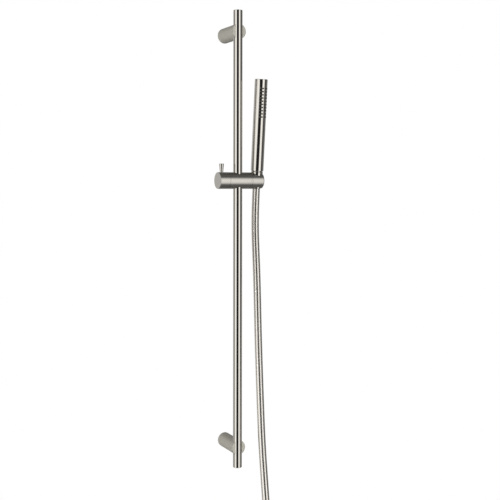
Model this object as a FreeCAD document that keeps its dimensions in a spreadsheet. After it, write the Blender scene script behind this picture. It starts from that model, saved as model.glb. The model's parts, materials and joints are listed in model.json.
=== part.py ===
"""A round slide-rail hand-shower set: wall rail, two posts, slider with lock knob and holder,
stick handset and hose.

Lengths are in millimetres and angles in degrees. The wall is the plane y = 0, the set stands in
front of it (y < 0), +Z is up, and the origin is midway between the two wall fixings.
"""
import FreeCAD, Part
import math
import os
import re
import Sketcher

SIZES = [
    # alias, value, meaning
    ("rail_radius", 9, "rail tube, outside"),
    ("rail_wall", 1.5, "rail tube, wall"),
    ("rail_length", 912, "rail over its end plugs"),
    ("plug_head", 1.2, "rail plug, thickness outside the tube"),
    ("plug_depth", 12, "rail plug, depth inside the tube"),
    ("slip", 0.05, "radial clearance of a piece that slips into another"),
    ("fixing_spacing", 830, "between the two wall fixings"),
    ("stand_off", 62, "wall to rail axis"),
    ("face_proud", 5.5, "post's front face beyond the rail axis"),
    ("post_radius", 14.8, "wall post, outside"),
    ("post_wall", 2.5, "wall post, wall round its pocket"),
    ("pocket_depth", 40, "wall post, depth of the pocket from the wall"),
    ("boss_length", 26, "wall boss, length from the wall"),
    ("boss_floor", 6, "wall boss, floor that the wall screw passes"),
    ("boss_cup", 7, "wall boss, radius of the recess for the screw's head"),
    ("wall_screw_hole", 2.75, "radius of the hole for the wall screw"),
    ("grub_height", 12, "grub screw, distance from the wall"),
    ("grub_radius", 2, "grub screw"),
    ("rail_screw_radius", 3, "screw from the post into the rail"),
    ("rail_screw_reach", 5, "end of that screw beyond the rail axis"),
    ("rail_screw_head", 5, "radius of that screw's head"),
    ("rail_screw_high", 6, "height of that screw's head"),
    ("insert_half", 16, "half length of the threaded insert in the rail"),
    ("slider_height", 124, "slider axis above the origin, as stored"),
    ("slider_radius", 16.4, "knob, slider body, ring and holder"),
    ("knob_end", 43.9, "rail axis to the knob's outer face"),
    ("knob_seam", 22.7, "rail axis to the seam between knob and body"),
    ("ring_seam", 21.7, "rail axis to the seam between body and ring"),
    ("holder_seam", 26, "rail axis to the holder's inner face"),
    ("holder_end", 51.9, "rail axis to the holder's outer face"),
    ("seam_gap", 0.3, "gap between faces that turn on each other"),
    ("end_round", 2, "rounding of the holder's outer end"),
    ("edge_round", 0.6, "rounding of the other visible edges"),
    ("bush_wall", 1.15, "plastic sleeve on the rail"),
    ("bush_half", 12.5, "half length of that sleeve"),
    ("bush_split", 1.5, "width of the split in that sleeve"),
    ("stud_radius", 4, "clamp screw, M8"),
    ("stud_depth", 6, "knob's outer face to the bottom of the hole for that screw"),
    ("shoe_length", 7, "clamp shoe, beyond the rail's radius"),
    ("lever_place", 35.5, "rail axis to the lever pin"),
    ("lever_rise", 16.7, "lever pin above the knob"),
    ("lever_foot", 3.3, "lever pin, radius at its foot"),
    ("lever_tip", 4.75, "lever pin, radius at its tip"),
    ("lever_spigot", 2.1, "lever pin, radius of the spigot in the knob"),
    ("lever_depth", 8.2, "slider axis to the bottom of the hole for the lever pin's spigot"),
    ("lever_sink", 0.5, "depth of the seat that the lever pin stands in"),
    ("pivot_radius", 3, "screw that the holder turns on"),
    ("pivot_head", 5, "radius of that screw's head"),
    ("pivot_under", 2.05, "holder's inner face to the underside of that head"),
    ("pivot_top", 3.85, "holder's inner face to the top of that head"),
    ("pivot_start", 1.7, "end of that screw from the sleeve's bore"),
    ("washer_radius", 12, "friction washer, outside"),
    ("washer_depth", 0.6, "friction washer, thickness inside the holder"),
    ("recess_radius", 12.1, "recess in the holder for the friction washer"),
    ("rest_lean", 5.45, "handset leaning forward, as stored"),
    ("rest_twist", 6.5, "handset turned in its holder, as stored"),
    ("handset_place", 42.1, "rail axis to the handset axis"),
    ("nut_mid", 10.6, "cone nut, outside radius level with the slider axis"),
    ("nut_slope", 0.07, "cone nut, growth of the radius along the axis"),
    ("nut_low", 15, "cone nut, end below the slider axis"),
    ("nut_high", 18.9, "cone nut, end above the slider axis"),
    ("liner_gap", 0.3, "between cone nut and liner"),
    ("liner_wall", 0.8, "plastic liner in the holder"),
    ("slot_width", 16.6, "side slot that the hose passes through"),
    ("thread_radius", 10.45, "G 1/2 outside thread, plain, at its crest"),
    ("ferrule_radius", 7.7, "hose end ferrule"),
    ("flange_radius", 9.4, "ferrule's flange and its washer"),
    ("flange_low", 2.2, "ferrule's flange, underside above the slider axis"),
    ("flange_high", 5, "ferrule's flange, top above the slider axis"),
    ("hose_bore", 5.2, "bore of the hose's ferrules"),
    ("washer_bore", 5.5, "bore of the hose's washers"),
    ("thread_start", 8, "cone nut and handset tail, start of the thread"),
    ("handset_radius", 12.6, "handset, outside"),
    ("handset_wall", 1.4, "handset shell, wall"),
    ("handset_low", 19.8, "handset, lower end above the slider axis"),
    ("handset_high", 200, "handset, upper end above the slider axis"),
    ("tail_bore", 6.5, "handset tail, bore that takes the flow limiter"),
    ("tail_step", 16, "handset tail, end of that bore"),
    ("tail_water", 5, "handset tail, water way"),
    ("tail_collar", 32, "handset tail, upper end of its collar"),
    ("tail_groove", 36.9, "handset tail, lower side of its ring groove"),
    ("tail_end", 42, "handset tail, upper end of its spigot"),
    ("limiter_hole", 1.5, "flow limiter, hole"),
    ("limiter_low", 10, "flow limiter, lower face"),
    ("limiter_high", 13, "flow limiter, upper face"),
    ("ring_groove", 1.8, "height of the grooves for the sealing rings"),
    ("ring_depth", 1.55, "depth of the grooves for the sealing rings"),
    ("ring_section", 0.74, "sealing ring, radius of its section"),
    ("cap_head", 2, "handset's top cap, thickness outside the shell"),
    ("cap_stop", 13.8, "handset's top cap, length of its collar and head"),
    ("cap_groove", 5, "handset's top cap, collar to the lower side of its ring groove"),
    ("cap_spigot", 8, "handset's top cap, length of its spigot"),
    ("water_radius", 9.2, "water tube in the handset, outside"),
    ("water_wall", 1.1, "water tube, wall"),
    ("window_half", 5, "water tube, half width of its window"),
    ("strip_angle", 96, "nozzle strip, the part of a turn that it covers"),
    ("strip_margin", 4, "nozzle strip, above the top row of nozzles"),
    ("nozzle_first", 182, "top row of nozzles above the slider axis"),
    ("nozzle_pitch", 6.15, "between rows of nozzles"),
    ("nozzle_rows", 10, "rows of nozzles"),
    ("nozzle_columns", 4, "columns of nozzles"),
    ("nozzle_step", 24.5, "between columns of nozzles, round the handset"),
    ("pip_radius", 1.6, "rubber nozzle"),
    ("pip_proud", 0.5, "rubber nozzle beyond the shell"),
    ("jet_radius", 0.45, "water hole in a nozzle"),
    ("hose_radius", 7.5, "hose, outside"),
    ("straight_run", 58, "hose leaves in line with the handset to here below the slider axis"),
    ("fold_radius", 45, "hank, radius of its folds"),
    ("hank_top", 590, "centre of the upper fold below the origin"),
    ("hank_run", 170, "hank, length of its straight runs"),
    ("lane_back", 47, "hank, back lane in front of the rail axis"),
    ("lane_front", 69, "hank, front lane in front of the rail axis"),
    ("lane_half", 7.75, "hank, half thickness of a lane"),
    ("tail_run", 175, "hank, last run from the upper fold to the hose's end"),
    ("tie_drop", 85, "hank, tie below the upper fold"),
    ("tie_height", 12, "tie, height"),
    ("tie_wall", 1.6, "tie, thickness"),
    ("hex_flats", 23, "supply nut, across its flats"),
    ("hex_start", 8, "supply nut, start beyond the hose's end"),
    ("hex_end", 33, "supply nut, mouth beyond the hose's end"),
    ("socket_start", 23, "supply nut, start of its thread"),
]
ALIASES = {alias for alias, _, _ in SIZES}
FULL_TURN = 360

document = FreeCAD.newDocument("hand_shower_set")
sheet = document.addObject("Spreadsheet::Sheet", "Sizes")
for line, (alias, value, meaning) in enumerate(SIZES, 1):
    sheet.set(f"A{line}", alias)
    sheet.set(f"B{line}", str(value))
    sheet.setAlias(f"B{line}", alias)
    sheet.set(f"C{line}", meaning)
document.recompute()
scratch = document.addObject("Spreadsheet::Sheet", "Scratch")
pieces = []


def bound(expression):
    """The expression with each alias in it read from the sheet."""
    return re.sub(r"[a-z_]+", lambda word: prefixed(word.group()), expression)


def prefixed(word):
    return f"Sizes.{word}" if word in ALIASES else word


def number(expression):
    """What an expression on the sheet's aliases comes to now, worked out in a scratch cell."""
    scratch.set("A1", f"={bound(expression)}")
    scratch.recompute()
    return float(scratch.get("A1"))


# Frames: a turning into the row frame, and the expressions of the frame's origin.
X, Y, Z = FreeCAD.Vector(1, 0, 0), FreeCAD.Vector(0, 1, 0), FreeCAD.Vector(0, 0, 1)
UPRIGHT = FreeCAD.Rotation()
ALONG_SLIDER = FreeCAD.Rotation(Y, 90)
LEANING = FreeCAD.Rotation(X, number("rest_lean"))
FACING_FRONT = LEANING.multiply(FreeCAD.Rotation(Z, number("rest_twist") - 90))
OUT_OF_WALL = FreeCAD.Rotation(X, 90)
HANGING = FreeCAD.Rotation(X, 180)
RAIL = (UPRIGHT, ("0", "-stand_off", "0"))
RAIL_AT_SLIDER = (UPRIGHT, ("0", "-stand_off", "slider_height"))
SLIDER = (ALONG_SLIDER, ("0", "-stand_off", "slider_height"))
HANDSET = (LEANING, ("handset_place", "-stand_off", "slider_height"))
HANDSET_FRONT = (FACING_FRONT, ("handset_place", "-stand_off", "slider_height"))
HOSE_END = (HANGING, ("handset_place", "-stand_off - lane_front", "-hank_top - tail_run"))
HANK = (UPRIGHT, ("handset_place - fold_radius", "-stand_off", "-hank_top"))


def wall_frame(side):
    """The frame of a wall post: its Z runs from the wall outwards. side is 1 above, -1 below."""
    return (OUT_OF_WALL, ("0", "0", f"{side} * fixing_spacing / 2"))


def place(piece, frame):
    turning, origin = frame
    piece.Placement = FreeCAD.Placement(FreeCAD.Vector(), turning)
    for axis, expression in zip("xyz", origin):
        if expression == "0":
            continue
        piece.setExpression(f"Placement.Base.{axis}", f"({bound(expression)}) * 1 mm")


def keep(piece, label):
    """Names a finished sub-part, which gets a file of its own."""
    piece.Label = label
    pieces.append(piece)
    return piece


def new_body(label, frame):
    body = document.addObject("PartDesign::Body", f"{label}_body")
    place(body, frame)
    return body


def new_sketch(body, plane, turned=0, shift="0"):
    """A sketch on one of the body's origin planes, turned about its own vertical and moved out."""
    sketch = body.newObject("Sketcher::SketchObject", "sketch")
    support = next(item for item in body.Origin.OriginFeatures if item.Role == plane)
    sketch.AttachmentSupport = (support, "")
    sketch.MapMode = "FlatFace"
    turning = FreeCAD.Rotation(Y, turned)
    sketch.AttachmentOffset = FreeCAD.Placement(turning.multVec(Z * number(shift)), turning)
    return sketch


def tie_point(sketch, curve, end, across, up):
    """Holds one point of a sketch at two expressions' distances from the sketch's origin."""
    for kind, axis, expression in (("DistanceX", -2, across), ("DistanceY", -1, up)):
        if expression == "0":
            sketch.addConstraint(Sketcher.Constraint("PointOnObject", curve, end, axis))
            continue
        value = number(expression)
        held = sketch.addConstraint(Sketcher.Constraint(kind, -1, 1, curve, end, value))
        sketch.setExpression(f"Constraints[{held}]", bound(expression))


def draw_outline(sketch, outline):
    """A closed outline of straight lines through (across, up) expressions."""
    first = sketch.GeometryCount
    corners = [FreeCAD.Vector(number(across), number(up), 0) for across, up in outline]
    for start, end in zip(corners, corners[1:] + corners[:1]):
        sketch.addGeometry(Part.LineSegment(start, end), False)
    for index, (across, up) in enumerate(outline):
        line, following = first + index, first + (index + 1) % len(outline)
        sketch.addConstraint(Sketcher.Constraint("Coincident", line, 2, following, 1))
        tie_point(sketch, line, 1, across, up)


def draw_circle(sketch, radius, across="0", up="0"):
    centre = FreeCAD.Vector(number(across), number(up), 0)
    circle = sketch.addGeometry(Part.Circle(centre, Z, number(radius)), False)
    held = sketch.addConstraint(Sketcher.Constraint("Radius", circle, number(radius)))
    sketch.setExpression(f"Constraints[{held}]", bound(radius))
    if (across, up) == ("0", "0"):
        sketch.addConstraint(Sketcher.Constraint("Coincident", circle, 3, -1, 1))
    else:
        tie_point(sketch, circle, 3, across, up)


def rectangle(left, low, right, high):
    return [(left, low), (right, low), (right, high), (left, high)]


def revolve(body, outline, angle=FULL_TURN):
    """Turns an outline of (radius, height) expressions about the body's own Z."""
    sketch = new_sketch(body, "XZ_Plane")
    draw_outline(sketch, outline)
    turned = body.newObject("PartDesign::Revolution", "turned")
    turned.Profile = sketch
    turned.ReferenceAxis = (sketch, ["V_Axis"])
    turned.Angle = angle
    turned.Midplane = angle != FULL_TURN
    document.recompute()
    return turned


def is_ring(edge, radius, height):
    """Whether an edge is a circle about the body's Z with that radius at that height."""
    if not isinstance(edge.Curve, Part.Circle):
        return False
    centre = edge.Curve.Center
    on_axis = math.hypot(centre.x, centre.y) < 0.01
    return on_axis and abs(edge.Curve.Radius - radius) + abs(centre.z - height) < 0.01


def round_rings(body, feature, rings, size):
    """Fillets the circular edges given as (radius, height) expressions."""
    wanted = [(number(radius), number(height)) for radius, height in rings]
    edges = feature.Shape.Edges
    names = [
        f"Edge{index}"
        for index, edge in enumerate(edges, 1)
        if any(is_ring(edge, radius, height) for radius, height in wanted)
    ]
    fillet = body.newObject("PartDesign::Fillet", "rounded")
    fillet.Base = (feature, names)
    fillet.setExpression("Radius", bound(size))
    document.recompute()
    return fillet


def cut_through(body, sketch):
    """Cuts a sketch's shape through the body both ways."""
    pocket = body.newObject("PartDesign::Pocket", "opening")
    pocket.Profile = sketch
    pocket.Type = "ThroughAll"
    pocket.SideType = "Symmetric"
    document.recompute()
    return pocket


def cut_forward(body, sketch, depth, backwards=False):
    """Cuts a sketch's shape towards the side that the sketch faces, or away from it."""
    pocket = body.newObject("PartDesign::Pocket", "opening")
    pocket.Profile = sketch
    pocket.Reversed = not backwards
    pocket.setExpression("Length", bound(depth))
    document.recompute()
    return pocket


def turned_body(label, frame, outline, rings=(), size="edge_round"):
    """A body turned about its own Z, with some of its circular edges rounded."""
    body = new_body(label, frame)
    turned = revolve(body, outline)
    if rings:
        round_rings(body, turned, rings, size)
    return body


def bore_across(body, radius, up="0"):
    """A round hole through the body along its own X."""
    sketch = new_sketch(body, "YZ_Plane")
    draw_circle(sketch, radius, "0", up)
    return cut_through(body, sketch)


def cone(label, low_radius, high_radius, low, high, frame):
    """A Part cone along the frame's Z from low to high."""
    solid = document.addObject("Part::Cone", label)
    solid.setExpression("Radius1", bound(low_radius))
    solid.setExpression("Radius2", bound(high_radius))
    solid.setExpression("Height", f"{bound(high)} - ({bound(low)})")
    shift_along(solid, low, frame)
    return solid


def cylinder(label, radius, low, high, frame):
    solid = document.addObject("Part::Cylinder", label)
    solid.setExpression("Radius", bound(radius))
    solid.setExpression("Height", f"{bound(high)} - ({bound(low)})")
    shift_along(solid, low, frame)
    return solid


def shift_along(solid, low, frame):
    """Places a Part primitive at a height on the frame's own Z."""
    turning, origin = frame
    along = turning.multVec(Z)
    moved = [
        f"({expression}) + ({low}) * ({component:.9f})"
        for expression, component in zip(origin, along)
    ]
    place(solid, (turning, moved))


def combine(kind, base, tool):
    """A Part boolean, Cut, Common or Fuse, of two objects."""
    result = document.addObject(f"Part::{kind}", kind.lower())
    result.Base = base
    result.Tool = tool
    document.recompute()
    return result


# ---------------------------------------------------------------- wall rail


def rail_tube():
    inner = "rail_radius - rail_wall"
    end = "rail_length / 2 - plug_head"
    outline = rectangle(inner, f"-({end})", "rail_radius", end)
    body = turned_body("rail_tube", RAIL, outline)
    sketch = new_sketch(body, "XZ_Plane", turned=180)
    for side in (1, -1):
        draw_circle(sketch, "rail_screw_radius + slip * 2", "0", f"{side} * fixing_spacing / 2")
    cut_forward(body, sketch, "rail_radius * 2")
    keep(body, "rail_tube")


def rail_plug(label, side):
    """An end plug: a spigot in the tube and a flush head."""
    spigot = "rail_radius - rail_wall - slip"
    tip = f"{side} * rail_length / 2"
    seat = f"{side} * (rail_length / 2 - plug_head)"
    inside = f"{side} * (rail_length / 2 - plug_head - plug_depth)"
    outline = [("0", inside), (spigot, inside), (spigot, seat)]
    outline += [("rail_radius", seat), ("rail_radius", tip), ("0", tip)]
    keep(turned_body(label, RAIL, outline, [("rail_radius", tip)]), label)


def rail_insert(label, side):
    """A short bar in the rail that the post's screw threads into."""
    middle = f"{side} * fixing_spacing / 2"
    radius = "rail_radius - rail_wall - slip"
    ends = f"{middle} - insert_half", f"{middle} + insert_half"
    body = turned_body(label, RAIL, rectangle("0", ends[0], radius, ends[1]))
    sketch = new_sketch(body, "XZ_Plane")
    draw_circle(sketch, "rail_screw_radius + slip", "0", middle)
    cut_through(body, sketch)
    keep(body, label)


def wall_post(label, side):
    """A cylinder with a pocket at the wall and a cross bore that breaks out of its front face."""
    front = "stand_off + face_proud"
    pocket = "post_radius - post_wall"
    hole = "rail_screw_radius + slip * 6"
    outline = [(pocket, "0"), ("post_radius", "0"), ("post_radius", front), ("0", front)]
    outline += [("0", "stand_off"), (hole, "stand_off"), (hole, "pocket_depth")]
    outline += [(pocket, "pocket_depth")]
    body = turned_body(label, wall_frame(side), outline, [("post_radius", front)])
    cross_bore = new_sketch(body, "XZ_Plane")
    draw_circle(cross_bore, "rail_radius + slip", "0", "stand_off")
    cut_through(body, cross_bore)
    grub_hole = new_sketch(body, "XZ_Plane")
    draw_circle(grub_hole, "grub_radius + slip", "0", "grub_height")
    cut_forward(body, grub_hole, "post_radius * 2")
    keep(body, label)


def wall_boss(label, side):
    """A round block that is screwed to the wall and that the post slips over."""
    radius = "post_radius - post_wall - slip"
    outline = [("wall_screw_hole", "0"), (radius, "0"), (radius, "boss_length")]
    outline += [("boss_cup", "boss_length"), ("boss_cup", "boss_floor")]
    outline += [("wall_screw_hole", "boss_floor")]
    body = turned_body(label, wall_frame(side), outline)
    dimple = new_sketch(body, "XZ_Plane")
    draw_circle(dimple, "grub_radius + slip", "0", "grub_height")
    cut_forward(body, dimple, "post_radius * 2")
    keep(body, label)


def pair_of_screws(label, outline, frame, direction):
    """Two equal screws as one sub-part, one fixing spacing apart along the body's own axis."""
    body = new_body(label, frame)
    screw = revolve(body, outline)
    pattern = body.newObject("PartDesign::LinearPattern", "pair")
    pattern.Originals = [screw]
    axis = next(item for item in body.Origin.OriginFeatures if item.Role == direction)
    pattern.Direction = (axis, [""])
    pattern.setExpression("Length", bound("fixing_spacing"))
    pattern.Occurrences = 2
    body.Tip = pattern
    document.recompute()
    keep(body, label)


def rail_screws():
    """Cap screws from inside the posts into the rail inserts."""
    seat = "pocket_depth - slip"
    top = "pocket_depth - rail_screw_high"
    key, key_end = "rail_screw_head / 2", "pocket_depth - rail_screw_high / 2"
    tip = "stand_off + rail_screw_reach"
    outline = [("0", key_end), (key, key_end), (key, top), ("rail_screw_head", top)]
    outline += [("rail_screw_head", seat), ("rail_screw_radius", seat)]
    outline += [("rail_screw_radius", tip), ("0", tip)]
    pair_of_screws("rail_screws", outline, wall_frame(-1), "Y_Axis")


def grub_screws():
    """Set screws up through the lower side of each post into its wall boss."""
    outer, inner, key = "post_radius - 0.3", "post_radius - post_wall - 2.5", "grub_radius / 2"
    origin = ("0", "-grub_height", "-fixing_spacing / 2")
    outline = [("0", f"-({inner})"), ("grub_radius", f"-({inner})")]
    outline += [("grub_radius", f"-({outer})"), (key, f"-({outer})")]
    outline += [(key, f"-({outer}) + 2"), ("0", f"-({outer}) + 2")]
    pair_of_screws("grub_screws", outline, (UPRIGHT, origin), "Z_Axis")


# ---------------------------------------------------------------- slider


def rail_bush():
    """The split plastic sleeve that runs on the rail."""
    inner, outer = "rail_radius + slip", "rail_radius + bush_wall"
    body = turned_body(
        "rail_bush", RAIL_AT_SLIDER, rectangle(inner, "-bush_half", outer, "bush_half")
    )
    split = new_sketch(body, "XZ_Plane")
    side, end = "bush_split / 2", "bush_half * 1.1"
    draw_outline(split, rectangle(f"-{side}", f"-{end}", side, end))
    cut_forward(body, split, "rail_radius * 2", backwards=True)
    keep(body, "rail_bush")


def slider_body():
    """The middle cylinder: bored for the rail, threaded for the clamp screw and the pivot."""
    blind = "rail_radius + bush_wall + 1.2"
    clamp, pivot = "stud_radius + slip", "pivot_radius + slip"
    outline = [(clamp, "-knob_seam"), ("slider_radius", "-knob_seam")]
    outline += [("slider_radius", "ring_seam"), (pivot, "ring_seam"), (pivot, blind)]
    outline += [("0", blind), ("0", "-rail_radius"), (clamp, "-rail_radius")]
    rings = [("slider_radius", "-knob_seam"), ("slider_radius", "ring_seam")]
    body = turned_body("slider_body", SLIDER, outline, rings, "edge_round / 3")
    bore_across(body, "rail_radius + bush_wall + slip")
    keep(body, "slider_body")


def spacer_ring():
    outer = "holder_seam - seam_gap"
    outline = rectangle("pivot_radius + slip", "ring_seam", "slider_radius", outer)
    rings = [("slider_radius", "ring_seam"), ("slider_radius", outer)]
    keep(turned_body("spacer_ring", SLIDER, outline, rings, "edge_round / 3"), "spacer_ring")


def friction_washer():
    """The nylon washer in the holder's recess, pressed against the spacer ring."""
    inner, start, end = "pivot_radius + slip * 2", "holder_seam - seam_gap", "holder_seam + washer_depth"
    outline = rectangle(inner, start, "washer_radius", end)
    keep(turned_body("friction_washer", SLIDER, outline), "friction_washer")


def pivot_screw():
    """The low-head screw that the holder turns on."""
    start, under = "rail_radius + bush_wall + pivot_start", "holder_seam + pivot_under"
    top, key, key_end = "holder_seam + pivot_top", "pivot_head / 2", "holder_seam + pivot_top - 1.4"
    outline = [("0", start), ("pivot_radius", start), ("pivot_radius", under)]
    outline += [("pivot_head", under), ("pivot_head", top), (key, top)]
    outline += [(key, key_end), ("0", key_end)]
    keep(turned_body("pivot_screw", SLIDER, outline), "pivot_screw")


def lock_knob():
    """The end cylinder that is turned to lock the slider, drilled for the stud and the lever."""
    inner = "-knob_seam - seam_gap"
    bore, depth = "stud_radius + slip", "-knob_end + stud_depth"
    outline = [("0", "-knob_end"), ("slider_radius", "-knob_end"), ("slider_radius", inner)]
    outline += [(bore, inner), (bore, depth), ("0", depth)]
    body = turned_body("lock_knob", SLIDER, outline, [("slider_radius", "-knob_end")])
    spigot = new_sketch(body, "YZ_Plane", turned=180, shift="lever_depth")
    draw_circle(spigot, "lever_spigot", "0", "-lever_place")
    cut_forward(body, spigot, "slider_radius")
    seat = new_sketch(body, "YZ_Plane", turned=180, shift="slider_radius - lever_sink")
    draw_circle(seat, "lever_foot + slip", "0", "-lever_place")
    cut_forward(body, seat, "slider_radius")
    keep(body, "lock_knob")


def lever_pin():
    """The small tapered pin that turns the knob, standing up when the slider is locked."""
    seat, tip = "slider_radius - lever_sink + slip", "slider_radius + lever_rise"
    spigot, bottom = "lever_spigot - slip", "lever_depth + slip * 4"
    outline = [("0", bottom), (spigot, bottom), (spigot, seat), ("lever_foot", seat)]
    outline += [("lever_tip", tip), ("0", tip)]
    frame = (UPRIGHT, ("-lever_place", "-stand_off", "slider_height"))
    keep(turned_body("lever_pin", frame, outline, [("lever_tip", tip)]), "lever_pin")


def clamp_stud():
    start, end = "-knob_end + stud_depth + slip * 4", "-rail_radius - shoe_length - 1.9"
    outline = rectangle("0", start, "stud_radius", end)
    keep(turned_body("clamp_stud", SLIDER, outline), "clamp_stud")


def clamp_shoe():
    """The plastic plug that the stud presses on the sleeve; its end is hollowed to fit it."""
    start = "-rail_radius - shoe_length - 1.2"
    body = turned_body("clamp_shoe", SLIDER, rectangle("0", start, "stud_radius - slip", "-rail_radius"))
    bore_across(body, "rail_radius + bush_wall + slip * 3")
    keep(body, "clamp_shoe")


def nut_radius(height, extra="0"):
    """The cone nut's outside radius at a height on the handset axis, with something added."""
    return f"nut_mid + nut_slope * ({height}) + {extra}"


def side_slot(label, half_height):
    """The box that the side slot takes out, from the handset axis past the holder's end."""
    turning, origin = HANDSET
    side, along = turning.multVec(Y), turning.multVec(Z)
    moved = [
        f"{start} - slot_width / 2 * ({across:.9f}) - ({half_height}) * ({up:.9f})"
        for start, across, up in zip(origin, side, along)
    ]
    box = document.addObject("Part::Box", label)
    box.setExpression("Length", bound("holder_end"))
    box.setExpression("Width", bound("slot_width"))
    box.setExpression("Height", bound(f"({half_height}) * 2"))
    place(box, (turning, moved))
    return box


def handset_holder():
    """The right-hand cylinder: a tapered socket for the cone nut, open at the end for the hose."""
    turn, head = "pivot_radius + slip", "pivot_head + slip * 6"
    floor, seat = "holder_seam + washer_depth + slip * 2", "holder_seam + pivot_under - slip"
    outline = [(turn, floor), ("recess_radius", floor)]
    outline += [("recess_radius", "holder_seam"), ("slider_radius", "holder_seam")]
    outline += [("slider_radius", "holder_end"), ("0", "holder_end")]
    outline += [("0", "handset_place"), (head, "handset_place"), (head, seat), (turn, seat)]
    rings = [("slider_radius", "holder_end")]
    body = turned_body("handset_holder", SLIDER, outline, rings, "end_round")
    reach = "slider_radius * 1.2"
    wall = "liner_gap + liner_wall"
    ends = nut_radius(f"-{reach}", wall), nut_radius(reach, wall)
    socket = cone("socket_cutter", *ends, f"-{reach}", reach, HANDSET)
    bored = combine("Cut", body, socket)
    holder = combine("Cut", bored, side_slot("slot_cutter", "slider_radius * 1.5"))
    keep(holder, "handset_holder")


def holder_liner():
    """The tapered plastic liner, split by the same slot and ending inside the holder."""
    reach = "slider_radius * 1.1"
    skin = "liner_gap + liner_wall - slip / 2"
    ends = nut_radius(f"-{reach}", skin), nut_radius(reach, skin)
    outer = cone("liner_outside", *ends, f"-{reach}", reach, HANDSET)
    deep = "slider_radius * 1.3"
    ends = nut_radius(f"-{deep}", "liner_gap"), nut_radius(deep, "liner_gap")
    inner = cone("liner_inside", *ends, f"-{deep}", deep, HANDSET)
    sleeve = combine("Cut", combine("Cut", outer, inner), side_slot("liner_slot", "slider_radius * 1.6"))
    bounds = cylinder("liner_bounds", "slider_radius - 0.8", "holder_seam", "holder_end - 1", SLIDER)
    keep(combine("Common", sleeve, bounds), "holder_liner")


# ---------------------------------------------------------------- handset


def hose_ferrule():
    """The crimped sleeve on the hose's upper end, held by its flange inside the cone nut."""
    outline = [("hose_bore", "-nut_low"), ("ferrule_radius", "-nut_low")]
    outline += [("ferrule_radius", "flange_low"), ("flange_radius", "flange_low")]
    outline += [("flange_radius", "flange_high"), ("hose_bore", "flange_high")]
    keep(turned_body("hose_ferrule", HANDSET, outline), "hose_ferrule")


def ferrule_washer():
    low, high = "flange_high + slip", "thread_start - slip * 2"
    outline = rectangle("washer_bore", low, "flange_radius", high)
    keep(turned_body("ferrule_washer", HANDSET, outline), "ferrule_washer")


def cone_nut():
    """The tapered nut that joins hose and handset and sits in the holder."""
    thread, relief, neck = "thread_radius + slip", "flange_radius + 0.2", "ferrule_radius + 0.3"
    shoulder, seat = "nut_high - 1.4", "flange_low - 0.2"
    outline = [(neck, "-nut_low"), (nut_radius("-nut_low"), "-nut_low")]
    outline += [(nut_radius(shoulder), shoulder), ("thread_radius + 0.5", "nut_high")]
    outline += [(thread, "nut_high"), (thread, "thread_start"), (relief, "thread_start")]
    outline += [(relief, seat), (neck, seat)]
    keep(turned_body("cone_nut", HANDSET, outline), "cone_nut")


def ring_groove(spigot, low):
    """The corners of a sealing ring's groove in a spigot, from its lower side up."""
    floor, high = f"{spigot} - ring_depth", f"{low} + ring_groove"
    return [(spigot, low), (floor, low), (floor, high), (spigot, high)]


def handset_tail():
    """The threaded lower end of the handset, with a spigot for the water tube."""
    collar, spigot = "handset_radius - handset_wall - slip", "water_radius - water_wall - slip"
    shoulder = "handset_low + 0.4"
    outline = [("tail_bore", "thread_start"), ("thread_radius", "thread_start")]
    outline += [("thread_radius", shoulder), (collar, shoulder), (collar, "tail_collar")]
    outline += [(spigot, "tail_collar")] + ring_groove(spigot, "tail_groove")
    outline += [(spigot, "tail_end"), ("tail_water", "tail_end")]
    outline += [("tail_water", "tail_step"), ("tail_bore", "tail_step")]
    keep(turned_body("handset_tail", HANDSET, outline), "handset_tail")


def flow_limiter():
    """The pressed-in disc that limits the flow."""
    outline = rectangle("limiter_hole", "limiter_low", "tail_bore - slip", "limiter_high")
    keep(turned_body("flow_limiter", HANDSET, outline), "flow_limiter")


def o_ring(label, low):
    """A ring of round section in the groove that starts at a height on the handset axis."""
    ring = document.addObject("Part::Torus", f"{label}_ring")
    middle = "water_radius - water_wall - slip - ring_depth + ring_section + slip"
    ring.setExpression("Radius1", bound(middle))
    ring.setExpression("Radius2", bound("ring_section"))
    shift_along(ring, f"{low} + ring_groove / 2", HANDSET)
    keep(ring, label)


def handset_shell():
    """The long tube of the handset, drilled for the nozzles on its front."""
    inner, top = "handset_radius - handset_wall", "handset_high - cap_head"
    outline = rectangle(inner, "handset_low", "handset_radius", top)
    body = new_body("handset_shell", HANDSET_FRONT)
    turned = revolve(body, outline)
    round_rings(body, turned, [("handset_radius", "handset_low")], "edge_round")
    sketch = nozzle_sketch(body, "pip_radius + slip", "0")
    hole = cut_forward(body, sketch, "handset_radius * 2")
    repeat_nozzles(body, hole)
    keep(body, "handset_shell")


def nozzle_sketch(body, radius, shift):
    """The circle of the top nozzle in the outermost column, facing outwards."""
    half_fan = (number("nozzle_columns") - 1) / 2 * number("nozzle_step")
    sketch = new_sketch(body, "YZ_Plane", turned=-half_fan, shift=shift)
    draw_circle(sketch, radius, "0", "nozzle_first")
    return sketch


def repeat_nozzles(body, feature):
    """Repeats a feature down the rows and round the columns."""
    upright = next(item for item in body.Origin.OriginFeatures if item.Role == "Z_Axis")
    pattern = body.newObject("PartDesign::MultiTransform", "nozzles")
    pattern.Originals = [feature]
    rows = body.newObject("PartDesign::LinearPattern", "rows")
    rows.Direction = (upright, [""])
    rows.Reversed = True
    rows.setExpression("Length", bound("nozzle_pitch * (nozzle_rows - 1)"))
    rows.setExpression("Occurrences", bound("nozzle_rows"))
    columns = body.newObject("PartDesign::PolarPattern", "columns")
    columns.Axis = (upright, [""])
    columns.setExpression("Angle", bound("nozzle_step * (nozzle_columns - 1)"))
    columns.setExpression("Occurrences", bound("nozzle_columns"))
    pattern.Transformations = [rows, columns]
    body.Tip = pattern
    document.recompute()
    return pattern


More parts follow.
